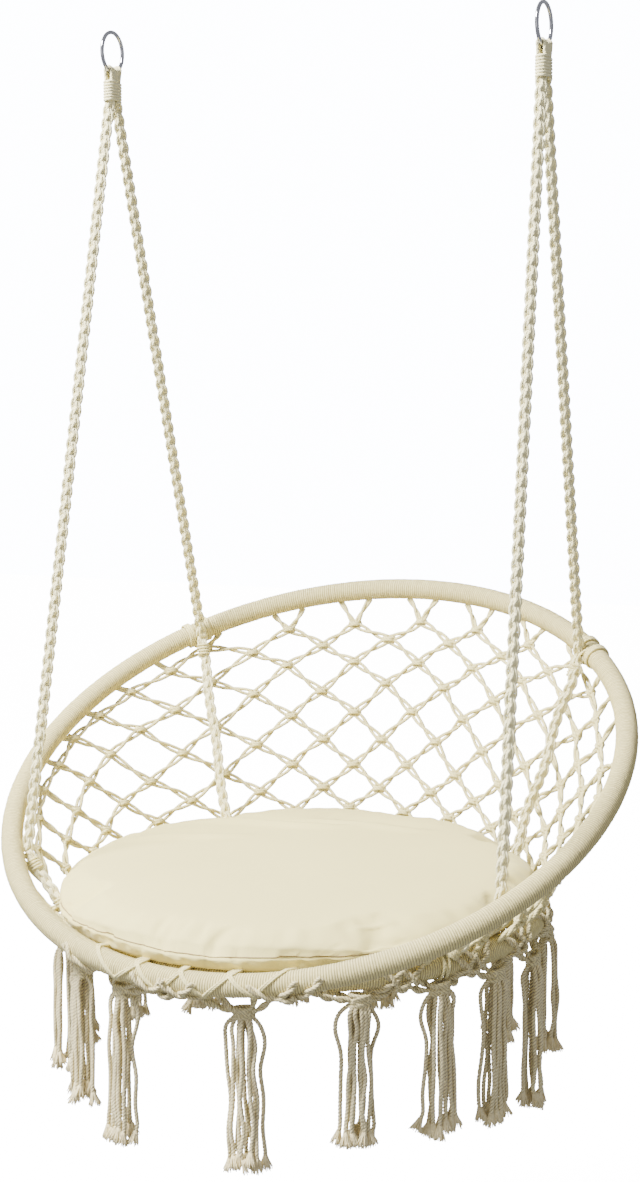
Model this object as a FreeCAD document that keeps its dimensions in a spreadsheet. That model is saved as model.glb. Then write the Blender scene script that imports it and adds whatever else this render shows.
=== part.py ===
import FreeCAD, Part
import math
import os
import Sketcher

# Hanging macrame hoop chair: two cord-wrapped hoops, netting, fringe, cushion and two hook rings.
#
# Millimetres. +Z is up, +X runs from the left hook ring to the right one and the open front of
# the chair faces -Y. The origin is the inner top of the left hook ring, where its hook bears.
# Azimuths on both hoops are in degrees, 0 at the front and turning towards +X.

V = FreeCAD.Vector
X_AXIS, Y_AXIS, Z_AXIS = V(1, 0, 0), V(0, 1, 0), V(0, 0, 1)

doc = FreeCAD.newDocument("hoop_chair")
sheet = doc.addObject("Spreadsheet::Sheet", "dimensions")
nodes = []

# ---------------------------------------------------------------- dimensions
DRIVING = {
    "hook_ring_radius": 25.0,          # centreline of the steel wire ring
    "hook_wire_radius": 2.5,
    "hook_ring_spacing": 576.0,
    "eye_radius": 8.0,                 # rope eye that lies round the ring wire
    "eye_bore_radius": 3.3,
    "eye_sweep": 56.0,
    "whipping_length": 30.0,
    "whipping_radius": 8.5,
    "whipping_clearance": 1.5,
    "hoop_tube_radius": 11.0,
    "hoop_tube_bore": 9.8,
    "wrap_radius": 13.75,
    "wrap_bore": 11.05,
    "big_hoop_radius": 386.25,
    "big_hoop_tilt": 28.7,
    "big_hoop_drop": 909.0,
    "big_hoop_shift": -10.0,
    "seat_hoop_radius": 286.25,
    "seat_hoop_tilt": 3.0,
    "hoop_gap": 0.3,
    "rope_radius": 7.0,
    "rope_half_spacing": 7.4,
    "rope_top_gap": 3.0,
    "rope_end_gap": 1.0,
    "front_tie_azimuth": 57.0,
    "back_tie_azimuth": 133.5,
    "big_hitch_turn": 4.6,             # radius of the rope in a hitch round the big hoop
    "seat_hitch_turn": 2.7,
    "hitch_clearance": 0.4,
    "lashing_turn": 3.0,
    "lashing_clearance": 1.0,
    "lashing_width": 9.0,
    "lashing_spacing": 24.0,
    "net_thickness": 5.0,
    "net_edge": 17.5,                  # from a hoop's centreline to the edge of the netting
    "net_side_gap": 5.0,               # degrees, beside each rope and its hitch
    "net_front_azimuth": 30.0,
    "seat_net_rim": 264.0,
    "seat_net_sag": 24.0,
    "seat_net_thickness": 4.0,
    "skirt_arm_radius": 3.2,
    "skirt_arm_drop": 22.5,
    "skirt_arm_gap": 1.3,              # degrees, between arms of neighbouring tassels
    "tassel_knot_drop": 33.0,
    "tassel_knot_radius": 8.0,
    "tassel_top_gap": 1.5,
    "tassel_top_radius": 7.5,
    "tassel_end_radius": 14.0,
    "tassel_length": 160.0,
    "cushion_radius": 293.0,
    "cushion_thickness": 36.0,
    "cushion_edge_radius": 14.0,
    "cushion_cloth": 1.6,
    "cushion_fill_gap": 0.3,
    "cushion_lift": 24.0,              # underside above the plane of the seat hoop
    "cushion_shift": -18.0,            # forward of the seat hoop's centre
}
LASHING_COUNT = 9
NET_STATIONS_PER_RADIAN = 7
TASSEL_AZIMUTHS = (12, 37, 56, 73, 90, 110, 145, 186, 210, 234, 257, 278, 300, 322, 340)
SIDES = {"left": -1, "right": 1}
ENDS = ("front", "back")


def add_cell(alias, value):
    """Write one plain number under an alias."""
    address = "B%d" % (add_cell.row)
    sheet.set("A%d" % add_cell.row, alias)
    sheet.set(address, repr(float(value)))
    sheet.setAlias(address, alias)
    add_cell.row += 1


add_cell.row = 1
for alias_name, number in DRIVING.items():
    add_cell(alias_name, number)
doc.recompute()


def size(alias):
    """The number that the sheet holds under an alias."""
    return float(sheet.get(alias))


def bind(feature, prop, expression):
    """Bind a size of a feature to cells of the sheet, named in braces."""
    feature.setExpression(prop, expression.replace("{", "dimensions.").replace("}", ""))


def keep(feature, label):
    """Give a finished sub-part its label and list it for writing."""
    feature.Label = label
    nodes.append(feature)
    return feature


def primitive(kind, name, sizes, placement=None):
    """A Part primitive whose sizes are bound to the sheet."""
    feature = doc.addObject("Part::" + kind, name)
    for prop, expression in sizes.items():
        bind(feature, prop, expression)
    if placement is not None:
        feature.Placement = placement
    return feature


# ---------------------------------------------------------------- hoop geometry
class Hoop:
    """A circle that leans back: its highest point is at the back."""

    def __init__(self, centre, radius, tilt):
        self.centre = centre
        self.radius = radius
        self.tilt = math.radians(tilt)

    def point(self, azimuth):
        a = math.radians(azimuth)
        forward = self.radius * math.cos(a)
        return self.centre + V(self.radius * math.sin(a), -forward * math.cos(self.tilt),
                               -forward * math.sin(self.tilt))

    def tangent(self, azimuth):
        a = math.radians(azimuth)
        return V(math.cos(a), math.sin(a) * math.cos(self.tilt), math.sin(a) * math.sin(self.tilt))

    def placement(self, offset=V(0, 0, 0)):
        lean = FreeCAD.Rotation(X_AXIS, math.degrees(self.tilt))
        return FreeCAD.Placement(self.centre + lean.multVec(offset), lean)


middle_x = size("hook_ring_spacing") / 2
ring_height = -(size("hook_ring_radius") - size("hook_wire_radius"))
wire_bottom = ring_height - size("hook_ring_radius")

big_hoop = Hoop(V(middle_x, size("big_hoop_shift"), -size("big_hoop_drop")),
                size("big_hoop_radius"), size("big_hoop_tilt"))
seat_tilt = math.radians(size("seat_hoop_tilt"))
seat_front = big_hoop.point(0) + V(0, 2 * size("wrap_radius") + size("hoop_gap"), 0)
seat_centre = seat_front + size("seat_hoop_radius") * V(0, math.cos(seat_tilt), math.sin(seat_tilt))
seat_hoop = Hoop(seat_centre, size("seat_hoop_radius"), size("seat_hoop_tilt"))


def aim(start, end, axis=Z_AXIS):
    """Placement at start that turns an axis towards end."""
    return FreeCAD.Placement(start, FreeCAD.Rotation(axis, end - start))


# ---------------------------------------------------------------- hook rings and rope eyes
def hook_ring_placement(x):
    """Ring standing in the YZ plane, its torus seam at the bottom."""
    return FreeCAD.Placement(V(x, 0, ring_height), FreeCAD.Rotation(Y_AXIS, 90))


def make_hook_ring(side, x):
    ring = primitive("Torus", side + "_steel_ring_torus",
                     {"Radius1": "{hook_ring_radius}", "Radius2": "{hook_wire_radius}"},
                     hook_ring_placement(x))
    keep(ring, side + "_steel_ring")


def make_rope_eye(side, x):
    """Sleeve of rope that follows the bottom of the hook ring."""
    turn = hook_ring_placement(x)
    turn = turn.multiply(FreeCAD.Placement(V(0, 0, 0), FreeCAD.Rotation(Z_AXIS, -size("eye_sweep") / 2)))
    outer = primitive("Torus", side + "_eye_outer", {
        "Radius1": "{hook_ring_radius}", "Radius2": "{eye_radius}", "Angle3": "{eye_sweep}"}, turn)
    bore = primitive("Torus", side + "_eye_bore", {
        "Radius1": "{hook_ring_radius}", "Radius2": "{eye_bore_radius}"}, hook_ring_placement(x))
    eye = doc.addObject("Part::Cut", side + "_eye")
    eye.Base = outer
    eye.Tool = bore
    keep(eye, side + "_rope_eye")


def plane_of(body, role):
    """One of a body's own origin planes, found by its role."""
    return next(f for f in body.Origin.OriginFeatures if f.Role == role)


def sketch_on(body, name, role):
    """A new sketch on one of a body's own origin planes."""
    sketch = body.newObject("Sketcher::SketchObject", name)
    sketch.AttachmentSupport = [(plane_of(body, role), "")]
    sketch.MapMode = "FlatFace"
    return sketch


def constrain(sketch, name, expression, *constraint):
    """Add a named dimension to a sketch and bind it to the sheet."""
    index = sketch.addConstraint(Sketcher.Constraint(*constraint))
    sketch.renameConstraint(index, name)
    bind(sketch, "Constraints." + name, expression)


whipping_top = wire_bottom - size("eye_radius") - size("whipping_clearance")
whipping_bottom = whipping_top - size("whipping_length")


def make_whipping(side, x):
    """Cord binding round the two ropes below the eye: a slot outline padded downwards."""
    body = doc.addObject("PartDesign::Body", side + "_whipping_body")
    sketch = sketch_on(body, side + "_whipping_outline", "XY_Plane")
    reach, radius = size("rope_half_spacing"), size("whipping_radius")
    half = math.pi / 2
    front = sketch.addGeometry(Part.ArcOfCircle(Part.Circle(V(0, -reach, 0), Z_AXIS, radius),
                                                2 * half, 4 * half))
    back = sketch.addGeometry(Part.ArcOfCircle(Part.Circle(V(0, reach, 0), Z_AXIS, radius), 0, 2 * half))
    right = sketch.addGeometry(Part.LineSegment(V(radius, -reach, 0), V(radius, reach, 0)))
    left = sketch.addGeometry(Part.LineSegment(V(-radius, reach, 0), V(-radius, -reach, 0)))
    for first, first_end, second, second_end in ((front, 2, right, 1), (right, 2, back, 1),
                                                 (back, 2, left, 1), (left, 2, front, 1)):
        sketch.addConstraint(Sketcher.Constraint("Tangent", first, first_end, second, second_end))
    sketch.addConstraint(Sketcher.Constraint("PointOnObject", front, 3, -2))
    sketch.addConstraint(Sketcher.Constraint("Symmetric", front, 3, back, 3, -1, 1))
    constrain(sketch, "round_end", "{whipping_radius}", "Radius", front, radius)
    constrain(sketch, "spread", "2 * {rope_half_spacing}", "Distance", front, 3, back, 3, 2 * reach)
    pad = body.newObject("PartDesign::Pad", side + "_whipping_pad")
    pad.Profile = sketch
    pad.Reversed = True
    bind(pad, "Length", "{whipping_length}")
    body.Placement = FreeCAD.Placement(V(x, 0, whipping_top), FreeCAD.Rotation())
    keep(body, side + "_whipping")


# ---------------------------------------------------------------- hoops
def make_hoop(hoop, name, radius_alias):
    """Steel tube ring and the layer of cord wound over it."""
    for label, outer, bore in (("tube", "hoop_tube_radius", "hoop_tube_bore"),
                               ("wrap", "wrap_radius", "wrap_bore")):
        solid, core = (
            primitive("Torus", "%s_%s_%s" % (name, label, which),
                      {"Radius1": "{%s}" % radius_alias, "Radius2": "{%s}" % section},
                      hoop.placement())
            for which, section in (("solid", outer), ("core", bore)))
        ring = doc.addObject("Part::Cut", "%s_%s_ring" % (name, label))
        ring.Base = solid
        ring.Tool = core
        keep(ring, "%s_%s" % (name, label))


def make_hitch(hoop, azimuth, label, turn_alias, turns):
    """Turns of rope side by side round a wrapped hoop."""
    centre = hoop.point(azimuth)
    along = hoop.tangent(azimuth)
    pitch = 1.85 * size(turn_alias)
    rings = []
    for index in range(turns):
        place = aim(centre, centre + along)
        place.Base = centre + along * pitch * (index - (turns - 1) / 2)
        rings.append(primitive("Torus", "%s_turn_%d" % (label, index + 1), {
            "Radius1": "{wrap_radius} + {hitch_clearance} + {%s}" % turn_alias,
            "Radius2": "{%s}" % turn_alias}, place))
    hitch = doc.addObject("Part::MultiFuse", label + "_turns")
    hitch.Shapes = rings
    keep(hitch, label)


# ---------------------------------------------------------------- ropes
def make_rope(label, start, end):
    """Straight rope between two points; its length is kept in the sheet."""
    add_cell(label + "_length", (end - start).Length)
    rope = primitive("Cylinder", label + "_rod",
                     {"Radius": "{rope_radius}", "Height": "{%s_length}" % label}, aim(start, end))
    keep(rope, label)


def direction(start, end):
    run = end - start
    run.normalize()
    return run


def hitch_inset(run, tangent, turn_alias):
    """How far a rope stops short of a hoop's centreline so that its end clears the hitch."""
    outside = size("wrap_radius") + size("hitch_clearance") + 2 * size(turn_alias)
    cosine = abs(run.dot(tangent))
    sine = math.sqrt(1 - cosine ** 2)
    return (outside + size("rope_end_gap") + size("rope_radius") * cosine) / sine


def make_ropes(side, x):
    for end in ENDS:
        azimuth = SIDES[side] * size(end + "_tie_azimuth")
        tie = big_hoop.point(azimuth)
        step = size("rope_half_spacing") * (-1 if end == "front" else 1)
        top = V(x, step, whipping_bottom)
        run = direction(top, tie)
        make_rope("%s_%s_rope" % (side, end), top + run * size("rope_top_gap"),
                  tie - run * hitch_inset(run, big_hoop.tangent(azimuth), "big_hitch_turn"))
        make_hitch(big_hoop, azimuth, "%s_%s_upper_hitch" % (side, end), "big_hitch_turn", 3)
        foot = seat_hoop.point(azimuth)
        run = direction(tie, foot)
        make_rope("%s_%s_lower_rope" % (side, end),
                  tie + run * hitch_inset(run, big_hoop.tangent(azimuth), "big_hitch_turn"),
                  foot - run * hitch_inset(run, seat_hoop.tangent(azimuth), "seat_hitch_turn"))
        make_hitch(seat_hoop, azimuth, "%s_%s_lower_hitch" % (side, end), "seat_hitch_turn", 2)


# ---------------------------------------------------------------- lashing of the two hoops
def slot_face(first, second, normal, radius):
    """Flat face that encloses two equal circles standing side by side."""
    across = second - first
    across.normalize()
    out = normal.cross(across) * radius
    reach = across * radius
    edges = [
        Part.LineSegment(first + out, second + out).toShape(),
        Part.Arc(second + out, second + reach, second - out).toShape(),
        Part.LineSegment(second - out, first - out).toShape(),
        Part.Arc(first - out, first - reach, first + out).toShape(),
    ]
    return Part.Face(Part.Wire(edges))


def facing_azimuth(point, normal):
    """Azimuth on the front of the big hoop where the plane through a point cuts it."""
    low, high = -40.0, 40.0
    while high - low > 1e-9:
        mid = (low + high) / 2
        if (big_hoop.point(mid) - point).dot(normal) < 0:
            low = mid
        else:
            high = mid
    return low


def make_lashing():
    """Bands of cord that bind the two hoops together across the front."""
    bands = []
    inner = size("wrap_radius") + size("lashing_clearance")
    outer = inner + size("lashing_turn")
    for index in range(LASHING_COUNT):
        offset = size("lashing_spacing") * (index - (LASHING_COUNT - 1) / 2)
        azimuth = math.degrees(offset / size("seat_hoop_radius"))
        first, normal = seat_hoop.point(azimuth), seat_hoop.tangent(azimuth)
        normal += big_hoop.tangent(facing_azimuth(first, normal))
        normal.normalize()
        second = big_hoop.point(facing_azimuth(first, normal))
        depth = normal * size("lashing_width")
        first, second = first - depth / 2, second - depth / 2
        band = slot_face(first, second, normal, outer).extrude(depth)
        bands.append(band.cut(slot_face(first, second, normal, inner).extrude(depth)))
    feature = doc.addObject("Part::Feature", "front_lashing_bands")
    feature.Shape = Part.Compound([solid for band in bands for solid in band.Solids])
    keep(feature, "front_lashing")


# ---------------------------------------------------------------- netting
def make_net_panel(label, start, stop):
    """Thin ruled wall of netting from the seat hoop up to the big hoop."""
    count = max(4, int(math.radians(stop - start) * NET_STATIONS_PER_RADIAN) + 1)
    half = size("net_thickness") / 2
    rails = {key: [] for key in ("low_in", "low_out", "high_in", "high_out")}
    for index in range(count):
        azimuth = start + (stop - start) * index / (count - 1)
        low, high = seat_hoop.point(azimuth), big_hoop.point(azimuth)
        run = direction(low, high)
        low += run * size("net_edge") / run.cross(seat_hoop.tangent(azimuth)).Length
        high -= run * size("net_edge") / run.cross(big_hoop.tangent(azimuth)).Length
        normal = run.cross(seat_hoop.tangent(azimuth))
        normal.normalize()
        rails["low_in"].append(low - normal * half)
        rails["low_out"].append(low + normal * half)
        rails["high_in"].append(high - normal * half)
        rails["high_out"].append(high + normal * half)
    edges = {}
    for key, points in rails.items():
        curve = Part.BSplineCurve()
        curve.interpolate(points)
        edges[key] = curve.toShape()
    faces = [Part.makeRuledSurface(edges[a], edges[b]) for a, b in (
        ("low_in", "high_in"), ("low_out", "high_out"), ("low_in", "low_out"), ("high_in", "high_out"))]
    for index in (0, -1):
        corners = [rails[key][index] for key in ("low_in", "low_out", "high_out", "high_in")]
        faces.append(Part.Face(Part.makePolygon(corners + corners[:1])))
    shell = Part.makeShell(faces)
    shell.sewShape()
    solid = Part.Solid(Part.Shell(shell.Faces))
    solid.fix(1e-4, 1e-4, 1e-3)
    if solid.Volume < 0:
        solid.reverse()
    feature = doc.addObject("Part::Feature", label + "_wall")
    feature.Shape = solid
    keep(feature, label)


def make_seat_net():
    """Shallow dish of netting that hangs inside the seat hoop."""
    rim, sag, depth = size("seat_net_rim"), size("seat_net_sag"), size("seat_net_thickness")
    radius = (rim ** 2 + sag ** 2) / (2 * sag)
    add_cell("seat_net_curve", radius)
    doc.recompute()
    body = doc.addObject("PartDesign::Body", "seat_net_body")
    sketch = sketch_on(body, "seat_net_profile", "XZ_Plane")
    centre = V(0, radius - sag, 0)
    edge_angle = -math.acos(rim / radius)
    under = radius + depth
    under_angle = -math.acos(rim / under)
    upper = sketch.addGeometry(Part.ArcOfCircle(Part.Circle(centre, Z_AXIS, radius),
                                                -math.pi / 2, edge_angle))
    lower = sketch.addGeometry(Part.ArcOfCircle(Part.Circle(centre, Z_AXIS, under),
                                                -math.pi / 2, under_angle))
    rim_line = sketch.addGeometry(Part.LineSegment(
        centre + radius * V(math.cos(edge_angle), math.sin(edge_angle), 0),
        centre + under * V(math.cos(under_angle), math.sin(under_angle), 0)))
    axis_line = sketch.addGeometry(Part.LineSegment(V(0, -sag, 0), V(0, -sag - depth, 0)))
    for first, first_end, second, second_end in ((upper, 2, rim_line, 1), (lower, 2, rim_line, 2),
                                                 (upper, 1, axis_line, 1), (lower, 1, axis_line, 2),
                                                 (upper, 3, lower, 3)):
        sketch.addConstraint(Sketcher.Constraint("Coincident", first, first_end, second, second_end))
    for point in ((upper, 3), (upper, 1), (lower, 1)):
        sketch.addConstraint(Sketcher.Constraint("PointOnObject", *point, -2))
    sketch.addConstraint(Sketcher.Constraint("Vertical", rim_line))
    constrain(sketch, "curve", "{seat_net_curve}", "Radius", upper, radius)
    constrain(sketch, "under_curve", "{seat_net_curve} + {seat_net_thickness}", "Radius", lower, under)
    constrain(sketch, "curve_centre", "{seat_net_curve} - {seat_net_sag}",
              "DistanceY", -1, 1, upper, 3, radius - sag)
    constrain(sketch, "rim", "{seat_net_rim}", "DistanceX", -1, 1, upper, 2, rim)
    dish = body.newObject("PartDesign::Revolution", "seat_net_dish")
    dish.Profile = sketch
    dish.ReferenceAxis = (sketch, ["V_Axis"])
    dish.Angle = 360
    body.Placement = seat_hoop.placement()
    keep(body, "seat_net")


# ---------------------------------------------------------------- fringe
def make_skirt():
    """Knots below the seat hoop, each held by two arms that rise to the hoop."""
    parts = []
    count = len(TASSEL_AZIMUTHS)
    down, gap = V(0, 0, -size("skirt_arm_drop")), size("skirt_arm_gap")
    for index, azimuth in enumerate(TASSEL_AZIMUTHS):
        before = TASSEL_AZIMUTHS[index - 1] - (360 if index == 0 else 0)
        after = TASSEL_AZIMUTHS[(index + 1) % count] + (360 if index == count - 1 else 0)
        knot = knot_point(azimuth)
        group = Part.makeSphere(size("tassel_knot_radius"), knot)
        for foot in ((before + azimuth) / 2 + gap, (after + azimuth) / 2 - gap):
            start = seat_hoop.point(foot) + down
            run = knot - start
            group = group.fuse(Part.makeCylinder(size("skirt_arm_radius"), run.Length, start, run))
        parts.append(group)
    feature = doc.addObject("Part::Feature", "fringe_skirt_knots")
    feature.Shape = Part.Compound([solid for group in parts for solid in group.Solids])
    keep(feature, "fringe_skirt")


def knot_point(azimuth):
    return seat_hoop.point(azimuth) - V(0, 0, size("tassel_knot_drop"))


def make_tassel(number, azimuth):
    drop = size("tassel_knot_radius") + size("tassel_top_gap") + size("tassel_length")
    tassel = primitive("Cone", "tassel_%02d_cone" % number, {
        "Radius1": "{tassel_end_radius}", "Radius2": "{tassel_top_radius}", "Height": "{tassel_length}"},
        FreeCAD.Placement(knot_point(azimuth) - V(0, 0, drop), FreeCAD.Rotation()))
    keep(tassel, "tassel_%02d" % number)


# ---------------------------------------------------------------- cushion
def make_rounded_disc(name, inset):
    """Disc with a rounded rim, smaller than the cushion by an inset all round."""
    body = doc.addObject("PartDesign::Body", name + "_body")
    sketch = sketch_on(body, name + "_outline", "XY_Plane")
    circle = sketch.addGeometry(Part.Circle(V(0, 0, 0), Z_AXIS, size("cushion_radius")))
    sketch.addConstraint(Sketcher.Constraint("Coincident", circle, 3, -1, 1))
    constrain(sketch, "rim", "{cushion_radius} - " + inset, "Radius", circle, size("cushion_radius"))
    pad = body.newObject("PartDesign::Pad", name + "_pad")
    pad.Profile = sketch
    bind(pad, "Length", "{cushion_thickness} - 2 * " + inset)
    doc.recompute()
    rims = ["Edge%d" % (i + 1) for i, edge in enumerate(pad.Shape.Edges)
            if len(edge.Vertexes) == 1 and isinstance(edge.Curve, Part.Circle)]
    fillet = body.newObject("PartDesign::Fillet", name + "_rim")
    fillet.Base = (pad, rims)
    bind(fillet, "Radius", "{cushion_edge_radius} - " + inset)
    doc.recompute()
    rise = size("cushion_lift") + (size("cushion_thickness") - pad.Length.Value) / 2
    body.Placement = seat_hoop.placement(V(0, size("cushion_shift"), rise))
    return body


def make_cushion():
    cover = doc.addObject("Part::Cut", "cushion_cover_shell")
    cover.Base = make_rounded_disc("cushion_cover_blank", "0 * {cushion_cloth}")
    cover.Tool = make_rounded_disc("cushion_cover_inside", "{cushion_cloth}")
    keep(cover, "cushion_cover")
    keep(make_rounded_disc("cushion_filling", "({cushion_cloth} + {cushion_fill_gap})"), "cushion_filling")


# ---------------------------------------------------------------- assembly
for side_name, x_position in (("left", 0.0), ("right", size("hook_ring_spacing"))):
    make_hook_ring(side_name, x_position)
    make_rope_eye(side_name, x_position)
    make_whipping(side_name, x_position)
    make_ropes(side_name, x_position)

make_hoop(big_hoop, "big_hoop", "big_hoop_radius")
make_hoop(seat_hoop, "seat_hoop", "seat_hoop_radius")
make_lashing()

side_gap = size("net_side_gap")
front_tie, back_tie = size("front_tie_azimuth"), size("back_tie_azimuth")
make_net_panel("back_net", back_tie + side_gap, 360 - back_tie - side_gap)
make_net_panel("right_net", front_tie + side_gap, back_tie - side_gap)
make_net_panel("left_net", -back_tie + side_gap, -front_tie - side_gap)
make_net_panel("front_right_net", size("net_front_azimuth"), front_tie - side_gap)
make_net_panel("front_left_net", -front_tie + side_gap, -size("net_front_azimuth"))
make_seat_net()

make_skirt()
for tassel_number, tassel_azimuth in enumerate(TASSEL_AZIMUTHS, start=1):
    make_tassel(tassel_number, tassel_azimuth)
make_cushion()

doc.recompute()

# ---------------------------------------------------------------- checks and output
for item in doc.Objects:
    bad_states = {"Invalid", "Error"} & set(item.State)
    if bad_states:
        raise RuntimeError("%s is %s" % (item.Label, ", ".join(sorted(bad_states))))
for node in nodes:
    if node.Shape.isNull() or not node.Shape.isValid() or node.Shape.Volume <= 0:
        raise RuntimeError(node.Label + " has no valid solid")

os.makedirs("parts", exist_ok=True)
for node in nodes:
    node.Shape.exportStep(os.path.join("parts", node.Label + ".step"))
print("%d sub-parts written" % len(nodes))
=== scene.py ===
"""Looks of the hanging macrame hoop chair: wound hoops, braided ropes, knotted net, fringe and cushion.

Metres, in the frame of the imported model: +Z up, +X from the left hook ring to the right one, and
the open front of the chair towards -Y. Azimuths on the hoops are 0 at the front, towards +X.
"""
import math
import bpy
import numpy as np
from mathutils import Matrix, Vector


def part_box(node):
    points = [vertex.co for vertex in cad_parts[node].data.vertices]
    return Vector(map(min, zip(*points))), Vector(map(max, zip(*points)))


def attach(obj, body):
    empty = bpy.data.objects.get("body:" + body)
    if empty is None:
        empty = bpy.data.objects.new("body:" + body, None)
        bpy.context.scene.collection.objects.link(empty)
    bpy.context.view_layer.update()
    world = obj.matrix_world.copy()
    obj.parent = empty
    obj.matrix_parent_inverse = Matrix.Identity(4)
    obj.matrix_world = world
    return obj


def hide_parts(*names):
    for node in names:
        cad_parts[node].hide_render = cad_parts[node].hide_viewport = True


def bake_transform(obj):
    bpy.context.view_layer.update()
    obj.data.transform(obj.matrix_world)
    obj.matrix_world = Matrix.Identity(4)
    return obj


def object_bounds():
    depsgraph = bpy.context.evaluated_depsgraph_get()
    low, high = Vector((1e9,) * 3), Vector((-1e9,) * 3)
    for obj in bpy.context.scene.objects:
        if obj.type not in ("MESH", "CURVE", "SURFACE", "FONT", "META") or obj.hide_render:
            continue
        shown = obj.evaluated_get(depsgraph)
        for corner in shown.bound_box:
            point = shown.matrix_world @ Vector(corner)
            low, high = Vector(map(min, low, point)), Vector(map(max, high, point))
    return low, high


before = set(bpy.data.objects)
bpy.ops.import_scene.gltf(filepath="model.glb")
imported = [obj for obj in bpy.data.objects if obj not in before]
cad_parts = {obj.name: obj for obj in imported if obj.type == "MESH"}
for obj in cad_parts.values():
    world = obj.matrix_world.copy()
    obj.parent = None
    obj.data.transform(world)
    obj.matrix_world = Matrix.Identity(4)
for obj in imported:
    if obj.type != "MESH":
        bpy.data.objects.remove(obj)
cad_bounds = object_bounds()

TAU = 2 * math.pi
PLIES = 3
rng = np.random.default_rng(7)


# ---- places, from the frame
def vec(*xyz):
    return np.array(xyz, float)


def unit(v):
    return v / np.linalg.norm(v)


def units(rows):
    return rows / np.linalg.norm(rows, axis=1)[:, None]


def box_centre(node):
    low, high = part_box(node)
    return (np.array(low) + np.array(high)) / 2


def box_size(node):
    low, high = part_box(node)
    return np.array(high) - np.array(low)


class Hoop:
    """A leaning circle, read from the box of the torus that is wound round it."""

    def __init__(self, node, wrap_radius):
        half = box_size(node) / 2 - wrap_radius
        self.centre = box_centre(node)
        self.radius = half[0]
        self.tilt = math.atan2(half[2], half[1])
        self.up = vec(0, -math.sin(self.tilt), math.cos(self.tilt))

    def point(self, azimuth):
        a = np.radians(azimuth)
        forward = self.radius * np.cos(a)
        return self.centre + np.stack([self.radius * np.sin(a), -forward * math.cos(self.tilt),
                                       -forward * math.sin(self.tilt)], -1)

    def tangent(self, azimuth):
        a = np.radians(azimuth)
        return np.stack([np.cos(a), np.sin(a) * math.cos(self.tilt), np.sin(a) * math.sin(self.tilt)], -1)

    def outward(self, azimuth):
        return (self.point(azimuth) - self.centre) / self.radius

    def azimuth_of(self, point):
        d = point - self.centre
        return math.degrees(math.atan2(d[0], -d[1] / math.cos(self.tilt)))

    def around(self, azimuth, angle, distance):
        """Point beside the hoop's centreline; angle 0 is outward and a quarter turn is up."""
        azimuth, angle = np.asarray(azimuth, float), np.asarray(angle, float)
        return (self.point(azimuth) + self.outward(azimuth) * (np.cos(angle) * distance)[..., None]
                + self.up * (np.sin(angle) * distance)[..., None])


WRAP_RADIUS = 0.01375
big = Hoop("big_hoop_wrap", WRAP_RADIUS)
seat = Hoop("seat_hoop_wrap", WRAP_RADIUS)


# ---- mesh making
class Soup:
    """Points, quads, triangles and cord coordinates gathered into one mesh."""

    def __init__(self):
        self.points, self.quads, self.triangles, self.count = [], [], [], 0
        self.quad_uvs, self.triangle_uvs = [], []

    def add(self, points, quads, quad_uvs, triangles=None, triangle_uvs=None):
        points = np.asarray(points, float).reshape(-1, 3)
        self.points.append(points)
        self.quads.append(np.asarray(quads).reshape(-1, 4) + self.count)
        self.quad_uvs.append(np.asarray(quad_uvs, float).reshape(-1, 2))
        if triangles is not None:
            self.triangles.append(np.asarray(triangles).reshape(-1, 3) + self.count)
            self.triangle_uvs.append(np.asarray(triangle_uvs, float).reshape(-1, 2))
        self.count += len(points)

    def piece(self, name, material, body, slot, replaced=()):
        faces = np.concatenate(self.quads).tolist()
        uvs = self.quad_uvs
        if self.triangles:
            faces += np.concatenate(self.triangles).tolist()
            uvs = uvs + self.triangle_uvs
        mesh = bpy.data.meshes.new(name)
        mesh.from_pydata(np.concatenate(self.points).tolist(), [], faces)
        layer = mesh.uv_layers.new(name="cord")
        layer.data.foreach_set("uv", np.concatenate(uvs).astype(np.float32).ravel())
        mesh.polygons.foreach_set("use_smooth", [True] * len(mesh.polygons))
        mesh.update()
        return finish_piece(linked(name, mesh), material, body, replaced)


def linked(name, data):
    """New object in the scene."""
    obj = bpy.data.objects.new(name, data)
    bpy.context.scene.collection.objects.link(obj)
    return obj


def finish_piece(obj, material, body, replaced=()):
    """Give a piece its material and body, and hide the parts that it replaces."""
    obj.data.materials.clear()
    obj.data.materials.append(material)
    if body:
        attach(obj, body)
    if replaced:
        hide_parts(*replaced)
    return obj


def distances(path):
    """How far along a path each of its points is."""
    return np.concatenate([[0], np.cumsum(np.linalg.norm(np.diff(path, axis=0), axis=1))])


def frames_along(path):
    """Unit tangents and two unit normals at each point, turned as little as possible."""
    tangents = units(np.gradient(path, axis=0))
    first = tangents[0]
    start = np.cross(first, vec(0, 0, 1) if abs(first[2]) < 0.9 else vec(1, 0, 0))
    normals = [unit(start)]
    for t in tangents[1:]:
        n = normals[-1] - t * np.dot(normals[-1], t)
        normals.append(unit(n))
    normals = np.array(normals)
    return tangents, normals, np.cross(tangents, normals)


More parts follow.
